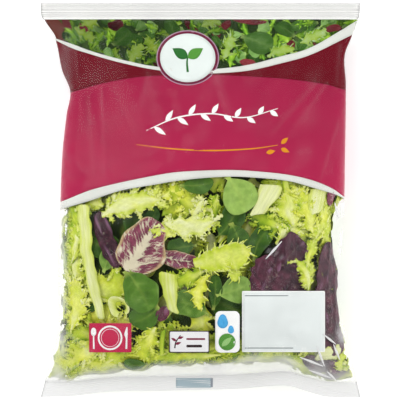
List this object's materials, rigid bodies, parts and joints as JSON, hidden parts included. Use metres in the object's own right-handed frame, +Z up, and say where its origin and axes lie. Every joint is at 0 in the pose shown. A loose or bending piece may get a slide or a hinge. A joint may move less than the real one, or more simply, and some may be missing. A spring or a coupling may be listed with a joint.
{
  "type": "bag of salad leaves",
  "caption": "Sealed clear pillow bag of mixed salad leaves, lying on its back, with a printed top, crimped seals at both ends and a folded back seam.",
  "frame": {"origin": "under the middle of the bag, on the surface that it lies on", "axes": "+X across the bag to the right as the front is seen, +Y from the bottom seal to the top seal, +Z up, out of the printed front"},
  "size_m": [0.249, 0.307, 0.0709],
  "materials": {
    "clear_film": "clear glossy film over yellow-green and dark green leaves",
    "header_print": "glossy crimson, dark red, white and leaf green print under the film",
    "label_print": "glossy white, crimson and blue print under the film",
    "curly_leaf": "moist curly yellow-green leaf with pale ribs",
    "round_leaf": "smooth moist dark green leaf",
    "red_leaf": "smooth purple leaf with white veins",
    "pale_rib": "moist pale green to white leaf rib"
  },
  "bodies": {
    "root": {"salad_bag": "clear_film"}
  },
  "joints": []
}
